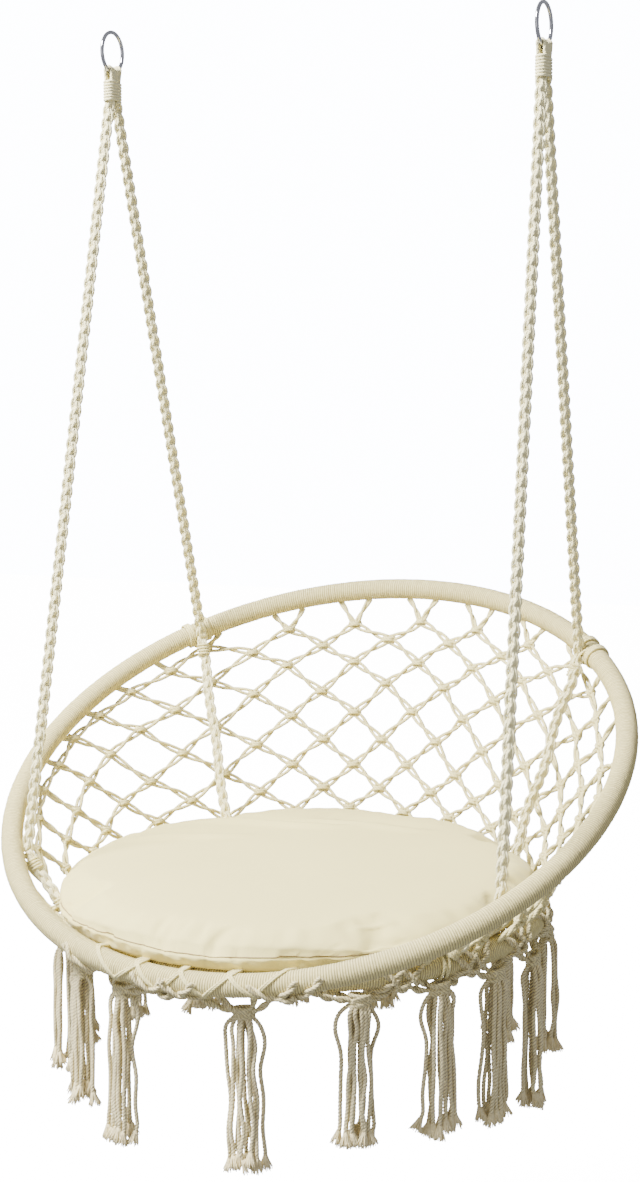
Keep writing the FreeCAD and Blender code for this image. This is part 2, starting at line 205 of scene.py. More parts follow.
def add_tube(soup, path, radius, sides=8, depth=0.14, lay=0.012):
    """Cord of three plies along a path; lay is the length in which the plies turn once."""
    path = np.asarray(path, float)
    n = len(path)
    tangents, normals, sideways = frames_along(path)
    steps = distances(path)
    radius = np.broadcast_to(np.asarray(radius, float), (n,))
    angle = np.arange(sides) * TAU / sides
    twist = steps / lay * TAU
    plies = np.abs(np.cos((angle[None, :] - twist[:, None]) * PLIES / 2))
    ring = radius[:, None] * (1 - depth + depth * plies)
    points = (path[:, None, :] + normals[:, None, :] * (np.cos(angle) * ring)[..., None]
              + sideways[:, None, :] * (np.sin(angle) * ring)[..., None])
    base = np.arange(n - 1)[:, None] * sides + np.arange(sides)[None, :]
    after = np.arange(n - 1)[:, None] * sides + (np.arange(sides)[None, :] + 1) % sides
    quads = np.stack([base, after, after + sides, base + sides], -1).reshape(-1, 4)
    u0, u1 = np.repeat(steps[:-1], sides), np.repeat(steps[1:], sides)
    v0 = np.tile(np.arange(sides) / sides, n - 1)
    v1 = v0 + 1 / sides
    uv = np.stack([u0, v0, u0, v1, u1, v1, u1, v0], -1)
    ends = np.array([path[0] - tangents[0] * radius[0] * 0.4, path[-1] + tangents[-1] * radius[-1] * 0.4])
    head, tail, k = n * sides, n * sides + 1, np.arange(sides)
    following, last = (k + 1) % sides, (n - 1) * sides
    caps = np.concatenate([np.stack([np.full(sides, head), following, k], -1),
                           np.stack([np.full(sides, tail), last + k, last + following], -1)])
    a, b, zero, far = k / sides, (k + 1) / sides, np.zeros(sides), np.full(sides, steps[-1])
    cap_uv = np.concatenate([np.stack([zero, zero + 0.5, zero, b, zero, a], -1),
                             np.stack([far, zero + 0.5, far, a, far, b], -1)])
    soup.add(np.concatenate([points.reshape(-1, 3), ends]), quads, uv, caps, cap_uv)


def smooth_path(points, count):
    """Points evenly placed along a smooth line through a few given ones."""
    points = np.asarray(points, float)
    n = len(points)
    padded = np.vstack([2 * points[0] - points[1], points, 2 * points[-1] - points[-2]])
    place = np.linspace(0, n - 1, count)
    i = np.minimum(place.astype(int), n - 2)
    f = (place - i)[:, None]
    a, b, c, d = padded[i], padded[i + 1], padded[i + 2], padded[i + 3]
    return 0.5 * (2 * b + (c - a) * f + (2 * a - 5 * b + 4 * c - d) * f ** 2
                  + (3 * b - a - 3 * c + d) * f ** 3)


def twisted_pair(path, gap, period, phase=0.0):
    """Two lines that turn round each other along a path."""
    steps = distances(path)
    _, normals, sideways = frames_along(path)
    angle = steps / period * TAU + phase
    for half in (0, math.pi):
        turned = angle[:, None] + half
        yield path + (normals * np.cos(turned) + sideways * np.sin(turned)) * gap


# ---- materials
def node(tree, kind, **inputs):
    made = tree.nodes.new(kind)
    for key, value in inputs.items():
        made.inputs[key.replace("_", " ")].default_value = value
    return made


def math_node(tree, operation, first, second=None):
    made = tree.nodes.new("ShaderNodeMath")
    made.operation = operation
    for index, value in enumerate((first, second)):
        if value is None:
            continue
        if isinstance(value, (int, float)):
            made.inputs[index].default_value = value
        else:
            tree.links.new(value, made.inputs[index])
    return made.outputs[0]


def blank_material(name, roughness, sheen=0.0):
    material = bpy.data.materials.new(name)
    material.use_nodes = True
    shader = material.node_tree.nodes["Principled BSDF"]
    shader.inputs["Roughness"].default_value = roughness
    if sheen:
        shader.inputs["Sheen Weight"].default_value = sheen
        shader.inputs["Sheen Roughness"].default_value = 0.45
    return material, material.node_tree, shader


def mix_colours(tree, factor, first, second):
    """Blend of two colours, each a tuple or a socket, by a factor from a socket."""
    mix = tree.nodes.new("ShaderNodeMix")
    mix.data_type = "RGBA"
    tree.links.new(factor, mix.inputs[0])
    for socket, value in ((mix.inputs[6], first), (mix.inputs[7], second)):
        if isinstance(value, tuple):
            socket.default_value = (*value, 1)
        else:
            tree.links.new(value, socket)
    return mix.outputs[2]


def noise(tree, coordinates, scale, detail=3.0, roughness=0.5):
    made = node(tree, "ShaderNodeTexNoise", Scale=scale, Detail=detail, Roughness=roughness)
    tree.links.new(coordinates, made.inputs["Vector"])
    return made.outputs["Fac"]


def stretched(tree, value, low, high):
    made = node(tree, "ShaderNodeMapRange", From_Min=low, From_Max=high)
    tree.links.new(value, made.inputs["Value"])
    return made.outputs["Result"]


def add_bumps(tree, shader, height, strength, distance):
    made = node(tree, "ShaderNodeBump", Strength=strength, Distance=distance)
    tree.links.new(height, made.inputs["Height"])
    tree.links.new(made.outputs[0], shader.inputs["Normal"])


def cord_material(name, light, dark, ply_length, ply_turns, groove, bump):
    """Cotton cord: grooves that repeat in ply_length and are painted darker as shade, fibre noise and slow
    changes of tone.
    """
    material, tree, shader = blank_material(name, 0.93, 0.12)
    place = tree.nodes.new("ShaderNodeTexCoord").outputs["Object"]
    uv = tree.nodes.new("ShaderNodeUVMap")
    uv.uv_map = "cord"
    split = tree.nodes.new("ShaderNodeSeparateXYZ")
    tree.links.new(uv.outputs[0], split.inputs[0])
    along = math_node(tree, "MULTIPLY", split.outputs[0], TAU / ply_length)
    around = math_node(tree, "MULTIPLY", split.outputs[1], TAU * ply_turns)
    wave = math_node(tree, "COSINE", math_node(tree, "ADD", along, around))
    ply = stretched(tree, wave, -1.0, 0.4)
    fibre = noise(tree, place, 1400.0, 4.0, 0.65)
    patch = stretched(tree, noise(tree, place, 22.0, 3.0), 0.3, 0.7)
    speck = stretched(tree, noise(tree, place, 260.0, 2.0), 0.35, 0.75)
    shade = mix_colours(tree, patch, light, tuple(0.955 * c for c in light))
    shade = mix_colours(tree, math_node(tree, "MULTIPLY", speck, 0.35), shade, dark)
    # painted shade: the grooves between the plies are mixed towards the dark colour, as far as groove says
    lift = math_node(tree, "SUBTRACT", 1.0, ply)
    shade = mix_colours(tree, math_node(tree, "MULTIPLY", lift, groove), shade, dark)
    tree.links.new(shade, shader.inputs["Base Color"])
    height = math_node(tree, "ADD", ply, math_node(tree, "MULTIPLY", fibre, 0.9))
    add_bumps(tree, shader, height, bump, 0.0006)
    return material


def plied_material(name, light, dark, lay, groove, bump):
    """Cord of three plies that turn once in the length lay."""
    return cord_material(name, light, dark, lay / PLIES, -PLIES, groove, bump)


THREAD_SPACING = 0.0011  # of the canvas


def canvas_material(name, light, dark):
    """Cotton canvas: fine crossed threads with painted shade in the valleys between them, slubs, faint
    mottling.
    """
    material, tree, shader = blank_material(name, 0.9, 0.1)
    place = tree.nodes.new("ShaderNodeTexCoord").outputs["Object"]
    split = tree.nodes.new("ShaderNodeSeparateXYZ")
    tree.links.new(place, split.inputs[0])
    drift = math_node(tree, "MULTIPLY", noise(tree, place, 160.0, 3.0), 5.0)
    threads = []
    for axis in (0, 1):
        run = math_node(tree, "MULTIPLY", split.outputs[axis], TAU / THREAD_SPACING)
        run = math_node(tree, "ADD", run, drift)
        threads.append(math_node(tree, "SINE", run))
    weave = stretched(tree, math_node(tree, "ADD", *threads), -2.0, 2.0)
    slub = noise(tree, place, 900.0, 4.0, 0.7)
    patch = stretched(tree, noise(tree, place, 9.0, 4.0), 0.3, 0.7)
    shade = mix_colours(tree, patch, light, tuple(0.965 * c for c in light))
    # painted shade: the valleys between the threads are mixed towards the dark colour
    painted_valley_shade = math_node(tree, "MULTIPLY", math_node(tree, "SUBTRACT", 1.0, weave), 0.16)
    shade = mix_colours(tree, painted_valley_shade, shade, dark)
    tree.links.new(shade, shader.inputs["Base Color"])
    height = math_node(tree, "ADD", weave, math_node(tree, "MULTIPLY", slub, 0.7))
    add_bumps(tree, shader, height, 0.3, 0.0004)
    return material


def chrome_material(name):
    """Plated wire: bright metal with faint smudges in its gloss."""
    material, tree, shader = blank_material(name, 0.12)
    shader.inputs["Metallic"].default_value = 1.0
    place = tree.nodes.new("ShaderNodeTexCoord").outputs["Object"]
    smudge = stretched(tree, noise(tree, place, 90.0, 4.0), 0.3, 0.8)
    tree.links.new(mix_colours(tree, smudge, (0.50, 0.50, 0.52), (0.36, 0.36, 0.38)),
                   shader.inputs["Base Color"])
    rough = math_node(tree, "ADD", math_node(tree, "MULTIPLY", smudge, 0.14), 0.08)
    tree.links.new(rough, shader.inputs["Roughness"])
    return material


CORD_PITCH = 0.003  # of the cord wound round the hoops
BRAID_LAY, NET_LAY, FRINGE_LAY = 0.017, 0.011, 0.012
COTTON, SHADOW_COTTON = (0.80, 0.70, 0.32), (0.32, 0.25, 0.10)
# Each cord below: its colour, a darker colour for specks and for the painted shade in its grooves, how its
# grooves run, how much of that painted shade goes into them, and the strength of its bumps.
wound = cord_material("wound_cotton", COTTON, SHADOW_COTTON, CORD_PITCH, 0, 0.75, 0.6)
braid = plied_material("braided_cotton", (0.95, 0.88, 0.52), (0.64, 0.56, 0.31), BRAID_LAY, 0.30, 0.5)
netting = plied_material("netting_cotton", (0.90, 0.80, 0.38), SHADOW_COTTON, NET_LAY, 0.40, 0.5)
fringe = plied_material("fringe_cotton", (0.90, 0.79, 0.46), (0.34, 0.27, 0.13), FRINGE_LAY, 0.65, 0.8)
swag = plied_material("swag_cotton", (0.84, 0.74, 0.40), (0.26, 0.20, 0.09), FRINGE_LAY, 0.60, 0.7)
fray = cord_material("frayed_cotton", (0.88, 0.76, 0.44), (0.50, 0.41, 0.20), 0.004, -1, 0.1, 0.2)
# the canvas's second colour is the painted shade in the valleys of its weave
canvas = canvas_material("cream_canvas", (0.82, 0.71, 0.28), (0.42, 0.35, 0.13))
# a dark cord laid in the cushion's seam groove as painted shadow
seam_shadow_cord = cord_material("seam_shadow_cord", (0.33, 0.25, 0.11), (0.16, 0.11, 0.05), 0.004, -2, 0.4, 0.3)
chrome = chrome_material("chromed_wire")
steel = chrome_material("hoop_steel")


# ---- metal parts, kept from CAD
for side_name in ("left", "right"):
    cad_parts[side_name + "_steel_ring"].data.materials[0] = chrome
for hoop_name in ("big", "seat"):
    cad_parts[hoop_name + "_hoop_tube"].data.materials[0] = steel


# ---- hoops
WINDING_RIDGE = 0.0010  # height of each turn of cord
WINDING_PROFILE = (1.0, 0.72, 0.0, 0.72)
WINDING_SIDES = 22


def make_wound_hoop(hoop, name, replaced):
    """Cord wound close round a hoop: one surface whose ridges run in a true helix."""
    turns = int(round(TAU * hoop.radius / CORD_PITCH))
    steps, sides = len(WINDING_PROFILE), WINDING_SIDES
    rows = turns * steps
    j = np.arange(sides)
    wobble = np.repeat(rng.normal(0, 0.13, turns), steps)
    fat = np.repeat(rng.normal(0, 0.00010, turns), steps)
    turn_index = (np.arange(rows)[:, None] + steps * j[None, :] / sides + wobble[:, None]) / rows
    azimuth = 360 * turn_index
    angle = np.broadcast_to(j * TAU / sides, azimuth.shape)
    height = WRAP_RADIUS - WINDING_RIDGE + WINDING_RIDGE * np.tile(WINDING_PROFILE, turns) + fat
    points = hoop.around(azimuth, angle, np.broadcast_to(height[:, None], azimuth.shape))
    # u follows the turns exactly, so the wound cord's painted shade falls in the grooves between them
    arc = CORD_PITCH / steps
    a, k = np.meshgrid(np.arange(rows), j, indexing="ij")
    following = (k + 1) % sides
    shift = np.where(following == 0, steps, 0)
    quads = np.stack([a * sides + k, (a + 1) % rows * sides + k,
                      (a + 1 + shift) % rows * sides + following, (a + shift) % rows * sides + following], -1)
    u, v = a * arc, k / sides
    uvs = np.stack([u, v, u + arc, v, u + arc, v + 1 / sides, u, v + 1 / sides], -1)
    soup = Soup()
    soup.add(points, quads, uvs)
    return soup.piece(name, wound, "seat", "wound_cord", replaced)


make_wound_hoop(big, "big_hoop_winding", ["big_hoop_wrap"])
make_wound_hoop(seat, "seat_hoop_winding", ["seat_hoop_wrap"])


# ---- braided ropes
ROPE_STRANDS = 3
ROPE_ON_HOOP = WRAP_RADIUS + 0.0045  # a rope's middle where it lies on a hoop
BRAID_PERIOD, BRAID_STEP = 0.051, 0.0022
STRAND_REACH, STRAND_RISE = 0.0043, 0.0021  # of a strand beside and over the rope's middle
BRAID_CORD, PAIR_GAP = 0.0023, 0.00185  # radius of each cord, and half the gap in a pair
UNEVEN = 0.00008
FLAT_SIDE = vec(0.42, -0.9, 0.1)  # the way that the flat sides of the braids face


def add_braid(soup, path, phase, scale):
    """Three-strand plait along a path, two twisted cords in each strand."""
    steps = distances(path)
    count = int(steps[-1] / BRAID_STEP)
    distance = np.linspace(0, steps[-1], count)
    centre = np.stack([np.interp(distance, steps, path[:, k]) for k in range(3)], -1)
    run = units(np.gradient(centre, axis=0))
    side = units(np.cross(run, FLAT_SIDE))
    front = np.cross(side, run)
    for strand in range(ROPE_STRANDS):
        a = TAU * distance / BRAID_PERIOD + phase + strand * TAU / ROPE_STRANDS
        across, over = STRAND_REACH * scale * np.sin(a), STRAND_RISE * scale * np.sin(2 * a)
        slope = np.cos(a)
        for pair in (-PAIR_GAP, PAIR_GAP):
            line = (centre + side * (across + pair * np.sqrt(1 - 0.55 * slope ** 2))[:, None]
                    + front * (over - pair * slope * 0.35)[:, None])
            line = line + rng.normal(0, UNEVEN, line.shape)
            add_tube(soup, line, BRAID_CORD * scale, sides=9, depth=0.12, lay=BRAID_LAY)


def beside(hoop, azimuth, run):
    """Direction from a hoop's centreline to a rope that crosses it on the inside."""
    across = unit(np.cross(hoop.tangent(azimuth), run))
    return across if np.dot(across, hoop.outward(azimuth)) < 0 else -across


ROPE_BESIDE = 0.0074  # from the middle of a whipping to each of its two ropes
TIE_SLIP = {("left", "back"): 1.6}  # degrees that a tie has slid forward along its hoops


class Tie:
    """Where one rope crosses the big hoop and ends at the seat hoop."""

    def __init__(self, side, end):
        self.name = "%s_%s" % (side, end)
        whipping = box_centre(side + "_whipping")
        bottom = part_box(side + "_whipping")[0][2]
        self.top = vec(whipping[0], ROPE_BESIDE * (-1 if end == "front" else 1), bottom + 0.004)
        slip = TIE_SLIP.get((side, end), 0)
        self.azimuth = big.azimuth_of(box_centre(self.name + "_upper_hitch")) + slip
        self.seat_azimuth = seat.azimuth_of(box_centre(self.name + "_lower_hitch")) + slip
        self.on_big, self.on_seat = big.point(self.azimuth), seat.point(self.seat_azimuth)
        down = unit(self.on_big - self.top)
        self.crossing = self.on_big + beside(big, self.azimuth, down) * ROPE_ON_HOOP
        fall = unit(self.on_seat - self.on_big)
        inside = beside(seat, self.seat_azimuth, fall)
        self.foot = self.on_seat + (inside if end == "back" else -fall) * ROPE_ON_HOOP
        self.fall = unit(self.foot - self.crossing)


ties = {(side, end): Tie(side, end) for side in ("left", "right") for end in ("front", "back")}


def declare_rope(piece, line):
    """Work out a rope's first point, its length and its points, and keep none of them; piece is not used."""
    tuple(line[0])
    float(distances(line)[-1])
    [tuple(p) for p in line]


UPPER_BRAID_SCALE, LOWER_BRAID_SCALE = 0.89, 0.88
BLEND_SHARES = 0.82, 0.985  # of an upper rope's run; points at these shares are worked out and not used


def make_upper_rope(side, tie):
    """Braided rope from the whipping to the inside of the big hoop."""
    line = smooth_path([tie.top, (tie.top + tie.crossing) / 2, tie.crossing], 60)
    soup = Soup()
    add_braid(soup, line, rng.uniform(0, TAU), UPPER_BRAID_SCALE)
    rope = soup.piece("braid_" + tie.name + "_rope", braid, None, "braided_rope", [tie.name + "_rope"])
    declare_rope(rope, line)
    give_from, give_to = (tuple(tie.top + (tie.crossing - tie.top) * share) for share in BLEND_SHARES)
    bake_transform(rope)
    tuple(give_from)
    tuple(give_to)


def make_lower_rope(side, end, tie):
    """Braided rope from the inside of the big hoop down to the seat hoop."""
    bend = unit(np.cross(tie.fall, seat.outward(tie.seat_azimuth)))
    slack = 0.0045 if (side, end) == ("right", "back") else 0.001
    t = np.linspace(0, 1, 17)
    waves = slack * np.sin(2.5 * TAU * t)
    line = tie.crossing + (tie.foot - tie.crossing) * t[:, None] + bend * waves[:, None]
    line = smooth_path(line, 40)
    soup = Soup()
    add_braid(soup, line, rng.uniform(0, TAU), LOWER_BRAID_SCALE)
    rope = soup.piece("braid_" + tie.name + "_lower_rope", braid, "seat", "braided_rope",
                      [tie.name + "_lower_rope"])
    declare_rope(rope, line)


for (side_name, end_name), one_tie in ties.items():
    make_upper_rope(side_name, one_tie)
    make_lower_rope(side_name, end_name, one_tie)


# ---- hitches
BACK_HITCH_CORD, SEAT_HITCH_CORD, COLLAR_CORD = 0.0017, 0.0018, 0.0019
BACK_HITCH_OFFSETS = (-0.0155, -0.0122, -0.0090, 0.0090, 0.0122, 0.0155)
BACK_BIGHTS = ((-0.005, 0.006), (-0.001, -0.005), (0.003, 0.005))  # offset and slant of each
SEAT_HITCH_TURNS = ((-0.0035, 0.003), (0.0, -0.003), (0.0035, 0.003))
OVER_ROPE = slice(15, 30)  # the part of a turn that crosses the rope
COLLAR_AWAY = 0.012  # from the end of a rope to the collar round it


def rope_bump(hoop, azimuth, direction):
    """Angle round a hoop at which a rope lies on it."""
    return math.atan2(np.dot(direction, hoop.up), np.dot(direction, hoop.outward(azimuth)))


def hitch_turn(hoop, azimuth, rope_angle, offset, slant, lift, radius):
    """One turn of cord round a hoop that rises over the rope lying on it."""
    t = np.linspace(-math.pi, math.pi, 45)
    reach = WRAP_RADIUS + radius * 0.9 + lift * np.exp(-(t / 0.62) ** 2)
    degrees = np.degrees((offset + slant * np.sin(t) * np.exp(-(t / 1.9) ** 2)) / hoop.radius)
    return hoop.around(azimuth + degrees, rope_angle + t, reach)


def add_collar(soup, start, run, turns, reach, radius):
    """Turns of thin cord round a rope."""
    along = np.linspace(0, turns * radius * 2.05, int(turns * 22))
    angle = along / (radius * 2.05) * TAU
    side = unit(np.cross(run, FLAT_SIDE))
    front = np.cross(side, run)
    path = (start + run * along[:, None] + side * (np.cos(angle) * reach)[:, None]
            + front * (np.sin(angle) * reach * 0.8)[:, None])
    add_tube(soup, path, radius, sides=7)


def make_hitches(tie):
    """Snug turns of cord that hold the rope to the hoops, and a collar round the rope."""
    upper, lower = Soup(), Soup()
    angle = rope_bump(big, tie.azimuth, tie.crossing - tie.on_big)
    if tie.name.endswith("back"):
        for offset in BACK_HITCH_OFFSETS:
            offset += rng.normal(0, 0.0003)
            path = hitch_turn(big, tie.azimuth, angle, offset, 0.002, 0.0, BACK_HITCH_CORD)
            add_tube(upper, path, BACK_HITCH_CORD)
        for offset, slant in BACK_BIGHTS:
            path = hitch_turn(big, tie.azimuth, angle, offset, slant, 0.0062, BACK_HITCH_CORD)
            add_tube(upper, path[OVER_ROPE], BACK_HITCH_CORD)
    add_collar(upper, tie.crossing + tie.fall * COLLAR_AWAY, tie.fall, 4, 0.0068, COLLAR_CORD)
    upper.piece("hitch_" + tie.name + "_upper", netting, "seat", "braided_rope", [tie.name + "_upper_hitch"])
    for offset, slant in SEAT_HITCH_TURNS:
        path = hitch_turn(seat, tie.seat_azimuth, 0.0, offset, slant, 0.0, SEAT_HITCH_CORD)
        add_tube(lower, path, SEAT_HITCH_CORD)
    add_collar(lower, tie.foot - tie.fall * COLLAR_AWAY, tie.fall, 3, 0.0066, COLLAR_CORD)
    lower.piece("hitch_" + tie.name + "_lower", netting, "seat", "braided_rope", [tie.name + "_lower_hitch"])


for one_tie in ties.values():
    make_hitches(one_tie)


# ---- rope eyes and whippings
EYE_CORD = 0.0021  # radius of the cords of the eyes and whippings
EYE_LOOPS = (-0.0105, -0.0062, -0.0020, 0.0024, 0.0066, 0.0108)  # places across the ring's wire
EYE_HALF_WIDTH = 0.0042
WIRE_RADIUS = 0.0025


def make_eye(side):
    """Cords of both ropes looped over the wire of the hook ring."""
    ring = box_centre(side + "_steel_ring")
    radius = box_size(side + "_steel_ring")[1] / 2 - WIRE_RADIUS
    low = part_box(side + "_whipping")[1][2] - 0.004
    soup = Soup()
    for index, y in enumerate(EYE_LOOPS):
        loop = WIRE_RADIUS + EYE_CORD + (0.0005 if index % 2 else 0)
        wire_z = ring[2] - math.sqrt(radius ** 2 - y ** 2)
        turn = np.linspace(0, math.pi, 13)
        over = np.stack([ring[0] + loop * np.cos(turn), np.full(13, ring[1] + y),
                         wire_z + loop * np.sin(turn)], -1)
        near, far = (vec(ring[0] + x, ring[1] + y * 0.85, low) for x in (EYE_HALF_WIDTH, -EYE_HALF_WIDTH))
        add_tube(soup, smooth_path(np.vstack([near, over, far]), 60), EYE_CORD, sides=9)
    body = "left_eye" if side == "left" else "right_ropes"
    soup.piece(side + "_looped_eye", braid, body, "braided_rope", [side + "_rope_eye"])


def make_whipping(side):
    """Close turns of cord round the two ropes below the eye."""
    low, high = (np.array(c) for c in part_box(side + "_whipping"))
    round_end = (high[0] - low[0]) / 2 - EYE_CORD
    turns = int((high[2] - low[2]) / (2 * EYE_CORD))
    centre = (low + high) / 2
    t = np.linspace(0, turns, turns * 32)
    angle = t * TAU
    x = round_end * np.cos(angle)
    y = round_end * np.sin(angle) + ROPE_BESIDE * np.tanh(3 * np.sin(angle))
    z = low[2] + EYE_CORD + t * (high[2] - low[2] - 2 * EYE_CORD) / turns
    path = np.stack([centre[0] + x, centre[1] + y, z], -1) + rng.normal(0, UNEVEN, (len(t), 3))
    soup = Soup()
    add_tube(soup, path, EYE_CORD)
    soup.piece(side + "_wound_whipping", braid, side + "_ropes", "braided_rope", [side + "_whipping"])


for side_name in ("left", "right"):
    make_eye(side_name)
    make_whipping(side_name)


# ---- knots and doubled links
KNOT_CORD, LINK_CORD, LINK_GAP = 0.0021, 0.0024, 0.0031
SHORT_LINK = 0.024  # a shorter link has no room to cross


def add_knot(soup, centre, across, up, out, size=1.0):
    """Flat square knot: two slanting turns round the cords and a bight at each side."""
    t = np.linspace(0, TAU, 19)
    tilt = rng.uniform(-0.12, 0.12)
    across, up = across * math.cos(tilt) + up * math.sin(tilt), up * math.cos(tilt) - across * math.sin(tilt)
    for row in (-1, 1):
        loop = (centre + across * (0.0046 * size * np.cos(t))[:, None]
                + up * (row * 0.0019 * size + row * 0.0012 * size * np.sin(t))[:, None]
                + out * (0.0031 * size * np.sin(t))[:, None])
        add_tube(soup, loop, KNOT_CORD * size, sides=7)
    for way in (-1, 1):
        bight = [centre + across * way * 0.0036 * size - up * 0.0038 * size,
                 centre + across * way * 0.0056 * size - up * 0.0012 * size + out * 0.0014 * size,
                 centre + across * way * 0.0056 * size + up * 0.0014 * size + out * 0.0014 * size,
                 centre + across * way * 0.0034 * size + up * 0.0040 * size]
        add_tube(soup, smooth_path(bight, 9), KNOT_CORD * size * 0.95, sides=7)


def add_link(soup, start, end, out, gap=LINK_GAP):
    """Two cords side by side that cross once on the way from one knot to the next."""
    run = end - start
    length = np.linalg.norm(run)
    side = unit(np.cross(out, run))
    count = max(6, int(length / 0.0026))
    t = np.linspace(0, 1, count)
    bow = side * rng.normal(0, 0.0012) + out * rng.normal(0.0006, 0.0008)
    middle = start + run * t[:, None] + bow * np.sin(math.pi * t)[:, None]
    crossed = length > SHORT_LINK
    apart = gap * (np.cos(math.pi * t) * (1 + 0.4 * np.sin(math.pi * t) ** 2) if crossed else np.ones(count))
    over = 0.0017 * np.sin(math.pi * t) ** 3 if crossed else np.zeros(count)
    flip = 1 if rng.random() < 0.5 else -1
    for way in (-1, 1):
        path = middle + side * (way * apart)[:, None] + out * (way * flip * over)[:, None]
        add_tube(soup, path, LINK_CORD, sides=7, lay=NET_LAY)


# ---- the netted wall
NET_ROWS = 9  # half rows of knots where the wall is tallest
NET_STARTS = 26.0  # azimuth where the wall begins on each side
FIRST_KNOT = 0.020  # from the middle of the seat hoop to the lowest knots
KNOT_SIDE, KNOT_RISE = 0.0022, 0.0015  # from a knot's middle to where its links leave it
FOOT_SPREAD = 3.1  # degrees between a knot and where its cords meet a hoop
RIM_GAP = 0.0019
tie_azimuths = np.array([tie.azimuth for tie in ties.values()])


def folded(azimuth):
    """How far an azimuth is from the front, in degrees."""
    return abs((azimuth + 180) % 360 - 180)


def wall(azimuth, height, out=0.0):
    """Point of the wall at a height above the seat hoop, with its upward and outward directions."""
    low, high = seat.point(azimuth), big.point(azimuth)
    up = unit(high - low)
    outward = unit(np.cross(seat.tangent(azimuth), up))
    near_tie = np.abs((tie_azimuths - azimuth + 180) % 360 - 180).min()
    push = out + 0.010 * math.exp(-(near_tie / 3.4) ** 2)
    return low + up * height + outward * push, up, outward


def wall_height(azimuth):
    return float(np.linalg.norm(big.point(azimuth) - seat.point(azimuth)))


def column_azimuths():
    """Azimuths of the half columns of knots, counted from the middle of the back."""
    places = {0: 179.5}
    for way, base, swell in ((1, 7.0, 2.9), (-1, 6.9, 0.0)):
        gone, index = 0.0, 0
        while gone < 179.5 - NET_STARTS:
            places[way * index] = (179.5 + way * gone + 180) % 360 - 180
            gone += base + swell * math.exp(-((gone - 52) / 25) ** 2)
            index += 1
    return places


def rows_at(azimuth):
    """Half rows of knots that fit below the big hoop: one fewer for each half column forward."""
    return min(max(8 - (121 - folded(azimuth)) * 0.118, 0), NET_ROWS)


def knot_height(azimuth, row):
    first = FIRST_KNOT + 0.022 * min(max((125 - folded(azimuth)) / 38, 0), 1)
    last = 0.024 + 0.020 * min(max((folded(azimuth) - 135) / 22, 0), 1)
    share = row / max(rows_at(azimuth), 1)
    return first + (wall_height(azimuth) - first - last) * (share - 0.03 * math.sin(TAU * share))


def make_net_knots():
    """Places of all the knots of the wall, by half column and half row."""
    knots = {}
    for column, place in column_azimuths().items():
        for row in range((column + 1) % 2, NET_ROWS + 1, 2):
            azimuth = place + rng.normal(0, 0.25)
            if row <= rows_at(azimuth) + 0.25 and wall_height(azimuth) > 0.07:
                knots[column, row] = (azimuth, knot_height(azimuth, row) + rng.normal(0, 0.0016))
    return knots


def on_winding(hoop, other, azimuth):
    """Point on the winding of a hoop, on the side of the other hoop."""
    middle = hoop.point(azimuth)
    return middle + unit(other.point(azimuth) - middle) * (WRAP_RADIUS - 0.001)


def make_walls():
    """The knotted net between the hoops, in the five panels between the ropes and the front."""
    front_tie = abs(ties["left", "front"].azimuth)
    back_tie = abs(ties["left", "back"].azimuth)
    panels = {name: Soup() for name in
              ("back_net", "right_net", "left_net", "front_right_net", "front_left_net")}
    knots = make_net_knots()
    for (column, row), (azimuth, height) in knots.items():
        turn = (azimuth + 180) % 360 - 180
        if abs(turn) > back_tie:
            name = "back_net"
        elif abs(turn) > front_tie:
            name = "right_net" if turn > 0 else "left_net"
        else:
            name = "front_right_net" if turn > 0 else "front_left_net"
        soup = panels[name]
        point, up, out = wall(azimuth, height)
        across = np.cross(up, out)
        add_knot(soup, point, across, up, out, rng.normal(1.22, 0.07))
        for way in (-1, 1):
            above = knots.get((column + way, row + 1))
            foot = azimuth + way * FOOT_SPREAD
            beside_knot = point + across * way * KNOT_SIDE
            start = beside_knot + up * KNOT_RISE
            if above:
                end, end_up, end_out = wall(*above)
                end = end - np.cross(end_up, end_out) * way * KNOT_SIDE - end_up * KNOT_RISE
                add_link(soup, start, end, unit(out + end_out))
            else:
                add_link(soup, start, on_winding(big, seat, foot), out, RIM_GAP)
            if (column + way, row - 1) not in knots:
                add_link(soup, beside_knot - up * KNOT_RISE, on_winding(seat, big, foot), out, RIM_GAP)
    for name, soup in panels.items():
        soup.piece("knotted_" + name, netting, "seat", "net_cord", [name])


make_walls()


# ---- the netted seat
SEAT_MESH = 0.046
SEAT_RIM = box_size("seat_net")[0] / 2
SEAT_SAG = 0.024


def dish(x, y):
    """Point of the seat net, and its outward direction."""
    back = vec(0, math.cos(seat.tilt), math.sin(seat.tilt))
    depth = SEAT_SAG * (1 - (x * x + y * y) / SEAT_RIM ** 2)
    return seat.centre + vec(x, 0, 0) + back * y - seat.up * (depth + 0.002)


